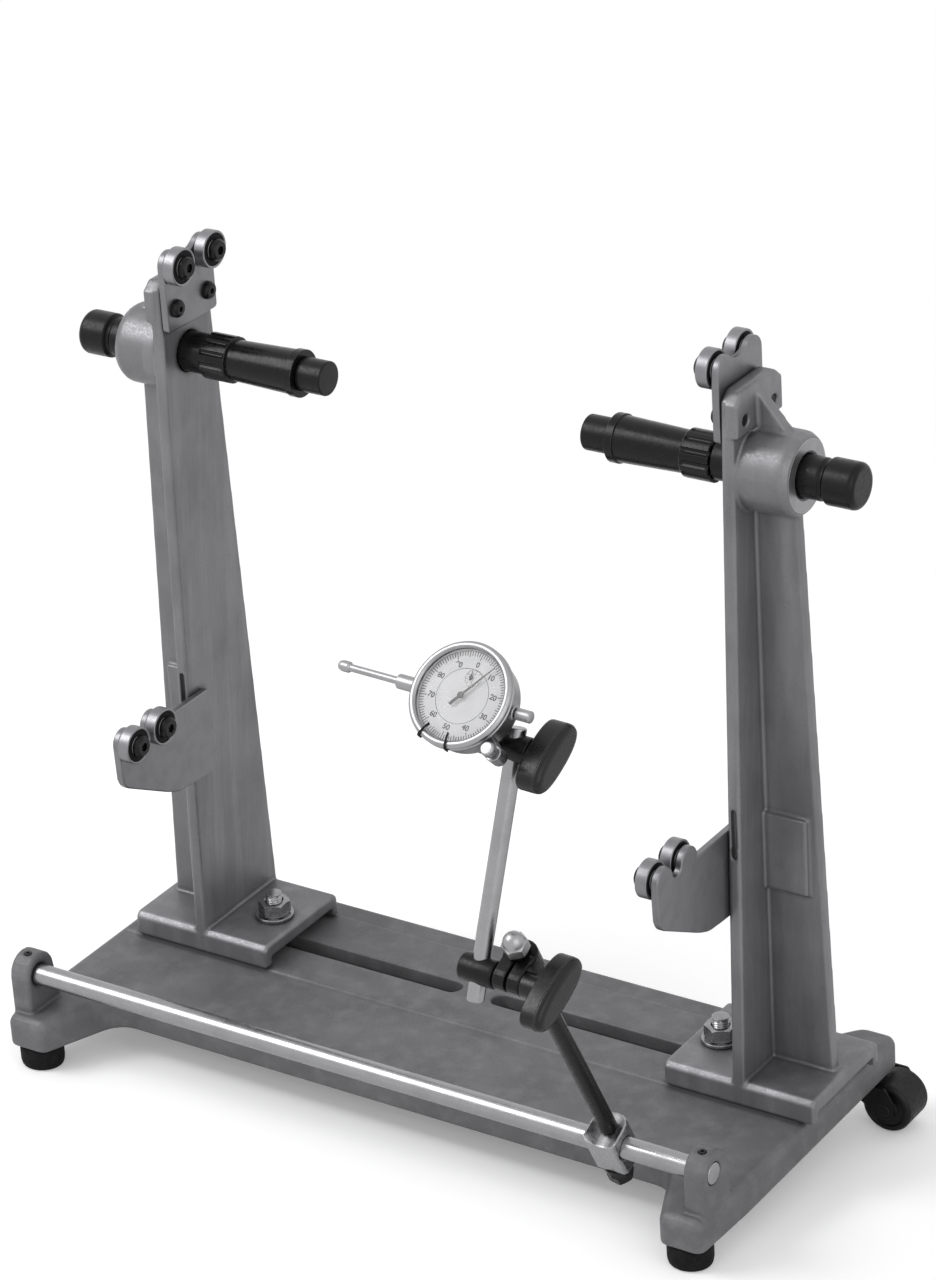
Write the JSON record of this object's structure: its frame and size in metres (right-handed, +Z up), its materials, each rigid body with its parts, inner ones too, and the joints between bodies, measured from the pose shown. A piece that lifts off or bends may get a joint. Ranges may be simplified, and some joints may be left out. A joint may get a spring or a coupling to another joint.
{
  "type": "wheel truing stand",
  "caption": "Bench stand that holds a wheel by its axle between two sliding uprights with roller seats and spindles, with a dial indicator on a jointed holder that rides a front rail.",
  "frame": {"origin": "centre of the floor footprint, on the floor", "axes": "+X runs along the front rail to the right as seen from the front, +Y to the rear casters, +Z up from the floor; the base leans 5.2 degrees nose-down about X on its rear casters"},
  "size_m": [0.5206, 0.3318, 0.4947],
  "materials": {
    "cast_aluminium": "sand-cast, brushed along its flats",
    "rubber": "moulded",
    "plated_steel": "zinc plated",
    "black_oxide": "black oxide on machined steel",
    "grey_plastic": "moulded, hard",
    "bearing_steel": "fine ground",
    "ground_steel": "ground and plated bright",
    "satin_chrome": "satin chrome",
    "black_plastic": "moulded, fine grain",
    "satin_alloy": "satin plated alloy"
  },
  "bodies": {
    "base": {"base_casting": "cast_aluminium", "rubber_foot_left": "rubber", "rubber_foot_right": "rubber", "caster_plate_left": "plated_steel", "caster_plate_right": "plated_steel"},
    "caster_fork_left": {"caster_fork_left": "black_oxide"},
    "caster_wheel_left": {"caster_wheel_left": "grey_plastic"},
    "caster_fork_right": {"caster_fork_right": "black_oxide"},
    "caster_wheel_right": {"caster_wheel_right": "grey_plastic"},
    "upright_left": {"upright_left": "cast_aluminium", "clamp_stud_left": "plated_steel", "upper_bracket_left": "bearing_steel", "lower_bracket_left": "bearing_steel", "bracket_screw_left_front": "black_oxide", "bracket_screw_left_rear": "black_oxide", "upper_roller_screw_left_front": "black_oxide", "upper_roller_screw_left_rear": "black_oxide", "lower_roller_screw_left_front": "black_oxide", "lower_roller_screw_left_rear": "black_oxide"},
    "clamp_nut_left": {"clamp_nut_left": "plated_steel"},
    "spindle_left": {"spindle_left": "black_oxide", "centring_sleeve_left": "black_oxide"},
    "upper_roller_left_front": {"upper_roller_left_front": "bearing_steel"},
    "upper_roller_left_rear": {"upper_roller_left_rear": "bearing_steel"},
    "lower_roller_left_front": {"lower_roller_left_front": "bearing_steel"},
    "lower_roller_left_rear": {"lower_roller_left_rear": "bearing_steel"},
    "upright_right": {"upright_right": "cast_aluminium", "clamp_stud_right": "plated_steel", "upper_bracket_right": "bearing_steel", "lower_bracket_right": "bearing_steel", "bracket_screw_right_front": "black_oxide", "bracket_screw_right_rear": "black_oxide", "upper_roller_screw_right_front": "black_oxide", "upper_roller_screw_right_rear": "black_oxide", "lower_roller_screw_right_front": "black_oxide", "lower_roller_screw_right_rear": "black_oxide"},
    "clamp_nut_right": {"clamp_nut_right": "plated_steel"},
    "spindle_right": {"spindle_right": "black_oxide", "centring_sleeve_right": "black_oxide"},
    "upper_roller_right_front": {"upper_roller_right_front": "bearing_steel"},
    "upper_roller_right_rear": {"upper_roller_right_rear": "bearing_steel"},
    "lower_roller_right_front": {"lower_roller_right_front": "bearing_steel"},
    "lower_roller_right_rear": {"lower_roller_right_rear": "bearing_steel"},
    "rail": {"rail_rod": "ground_steel"},
    "holder": {"rail_clamp": "plated_steel", "clamp_bolt": "black_oxide", "arm_rod": "black_oxide", "acorn_nut": "satin_chrome"},
    "lower_clamp": {"lower_clamp": "black_oxide"},
    "lower_knob": {"lower_knob": "black_plastic"},
    "lower_barrel": {"lower_barrel": "black_oxide"},
    "post": {"post_rod": "ground_steel"},
    "upper_clamp": {"upper_clamp": "black_oxide"},
    "upper_knob": {"upper_knob": "black_plastic"},
    "dial": {"dial_case": "satin_alloy"},
    "dial_bezel": {"dial_bezel": "satin_chrome"},
    "bezel_lock": {"bezel_lock": "satin_chrome"},
    "plunger": {"plunger": "satin_chrome"},
    "dial_needle": {"dial_needle": "black_oxide"},
    "counter_needle": {"counter_needle": "black_oxide"}
  },
  "joints": [
    {"name": "caster_swivel_left", "type": "hinge", "parent": "base", "child": "caster_fork_left", "pos_m": [-0.22695, 0.15035, 0.02098], "axis": [0, -0.0914, 0.9958], "continuous": true},
    {"name": "caster_roll_left", "type": "hinge", "parent": "caster_fork_left", "child": "caster_wheel_left", "pos_m": [-0.24475, 0.15077, 0.01639], "axis": [0, 0.9958, 0.0914], "continuous": true},
    {"name": "caster_swivel_right", "type": "hinge", "parent": "base", "child": "caster_fork_right", "pos_m": [0.22065, 0.15035, 0.02098], "axis": [0, -0.0914, 0.9958], "continuous": true},
    {"name": "caster_roll_right", "type": "hinge", "parent": "caster_fork_right", "child": "caster_wheel_right", "pos_m": [0.23845, 0.15077, 0.01639], "axis": [0, 0.9958, 0.0914], "continuous": true},
    {"name": "upright_slide_left", "type": "slide", "parent": "base", "child": "upright_left", "axis": [1, 0, 0], "range_m": [-0.015, 0.126]},
    {"name": "clamp_nut_turn_left", "type": "hinge", "parent": "upright_left", "child": "clamp_nut_left", "pos_m": [-0.14735, 0.08661, 0.01512], "axis": [0, -0.0914, 0.9958], "range_deg": [-90, 90]},
    {"name": "spindle_slide_left", "type": "slide", "parent": "upright_left", "child": "spindle_left", "axis": [-1, 0, 0], "range_m": [-0.014, 0.0145]},
    {"name": "upper_roller_turn_left_front", "type": "hinge", "parent": "upright_left", "child": "upper_roller_left_front", "pos_m": [-0.17415, 0.03153, 0.48104], "axis": [1, 0, 0], "continuous": true},
    {"name": "upper_roller_turn_left_rear", "type": "hinge", "parent": "upright_left", "child": "upper_roller_left_rear", "pos_m": [-0.17415, 0.0611, 0.48375], "axis": [1, 0, 0], "continuous": true},
    {"name": "lower_roller_turn_left_front", "type": "hinge", "parent": "upright_left", "child": "lower_roller_left_front", "pos_m": [-0.17415, -0.02656, 0.21089], "axis": [1, 0, 0], "continuous": true},
    {"name": "lower_roller_turn_left_rear", "type": "hinge", "parent": "upright_left", "child": "lower_roller_left_rear", "pos_m": [-0.17415, -0.00087, 0.21325], "axis": [1, 0, 0], "continuous": true},
    {"name": "upright_slide_right", "type": "slide", "parent": "base", "child": "upright_right", "axis": [1, 0, 0], "range_m": [-0.149, 0.012]},
    {"name": "clamp_nut_turn_right", "type": "hinge", "parent": "upright_right", "child": "clamp_nut_right", "pos_m": [0.16225, 0.08661, 0.01512], "axis": [0, -0.0914, 0.9958], "range_deg": [-90, 90]},
    {"name": "spindle_slide_right", "type": "slide", "parent": "upright_right", "child": "spindle_right", "axis": [1, 0, 0], "range_m": [-0.014, 0.0145]},
    {"name": "upper_roller_turn_right_front", "type": "hinge", "parent": "upright_right", "child": "upper_roller_right_front", "pos_m": [0.18905, 0.03153, 0.48104], "axis": [1, 0, 0], "continuous": true},
    {"name": "upper_roller_turn_right_rear", "type": "hinge", "parent": "upright_right", "child": "upper_roller_right_rear", "pos_m": [0.18905, 0.0611, 0.48375], "axis": [1, 0, 0], "continuous": true},
    {"name": "lower_roller_turn_right_front", "type": "hinge", "parent": "upright_right", "child": "lower_roller_right_front", "pos_m": [0.18905, -0.02656, 0.21089], "axis": [1, 0, 0], "continuous": true},
    {"name": "lower_roller_turn_right_rear", "type": "hinge", "parent": "upright_right", "child": "lower_roller_right_rear", "pos_m": [0.18905, -0.00087, 0.21325], "axis": [1, 0, 0], "continuous": true},
    {"name": "holder_tilt", "type": "hinge", "parent": "base", "child": "rail", "pos_m": [-0.00315, -0.04746, 0.05794], "axis": [1, 0, 0], "range_deg": [-12, 60]},
    {"name": "holder_slide", "type": "slide", "parent": "rail", "child": "holder", "axis": [1, 0, 0], "range_m": [-0.34, 0.01]},
    {"name": "lower_clamp_turn", "type": "hinge", "parent": "holder", "child": "lower_clamp", "pos_m": [0.16735, -0.13375, 0.20333], "axis": [0, -0.5336, 0.8458], "range_deg": [-20, 90]},
    {"name": "lower_knob_turn", "type": "hinge", "parent": "lower_clamp", "child": "lower_knob", "pos_m": [0.16684, -0.14439, 0.19661], "axis": [0.9992, -0.0339, -0.0214], "range_deg": [-120, 120]},
    {"name": "post_swing", "type": "hinge", "parent": "lower_clamp", "child": "lower_barrel", "pos_m": [0.16684, -0.14439, 0.19661], "axis": [0.9992, -0.0339, -0.0214], "range_deg": [-35, 90]},
    {"name": "post_slide", "type": "slide", "parent": "lower_barrel", "child": "post", "axis": [0.0292, 0.2474, 0.9685], "range_m": [-0.06, 0.01]},
    {"name": "upper_clamp_turn", "type": "hinge", "parent": "post", "child": "upper_clamp", "pos_m": [0.15033, -0.11427, 0.31229], "axis": [0.0292, 0.2474, 0.9685], "range_deg": [-45, 90]},
    {"name": "upper_knob_turn", "type": "hinge", "parent": "upper_clamp", "child": "upper_knob", "pos_m": [0.15033, -0.11427, 0.31229], "axis": [0.9996, -0.0072, -0.0283], "range_deg": [-120, 120]},
    {"name": "dial_tilt", "type": "hinge", "parent": "upper_clamp", "child": "dial", "pos_m": [0.12684, -0.1141, 0.31295], "axis": [0.9996, -0.0072, -0.0283], "range_deg": [-2, 40]},
    {"name": "bezel_turn", "type": "hinge", "parent": "dial", "child": "dial_bezel", "pos_m": [0.12758, -0.13166, 0.34372], "axis": [0.0121, -0.7778, 0.6284], "continuous": true},
    {"name": "bezel_lock_turn", "type": "hinge", "parent": "dial", "child": "bezel_lock", "pos_m": [0.15317, -0.14643, 0.32495], "axis": [0.0121, -0.7778, 0.6284], "range_deg": [-90, 90]},
    {"name": "plunger_slide", "type": "slide", "parent": "dial", "child": "plunger", "axis": [0.9996, -0.0072, -0.0283], "range_m": [0, 0.01], "stiffness_N_per_m": 100, "springref_m": -0.005},
    {"name": "needle_turn", "type": "hinge", "parent": "dial", "child": "dial_needle", "pos_m": [0.12758, -0.13166, 0.34372], "axis": [0.0121, -0.7778, 0.6284], "range_deg": [-3600, 0]},
    {"name": "counter_turn", "type": "hinge", "parent": "dial", "child": "counter_needle", "pos_m": [0.12906, -0.12501, 0.35192], "axis": [0.0121, -0.7778, 0.6284], "range_deg": [0, 360]}
  ],
  "couplings": [
    {"joint": "needle_turn", "follows": "plunger_slide", "rad_per_m": -6283.2},
    {"joint": "counter_turn", "follows": "plunger_slide", "rad_per_m": 628.32}
  ]
}
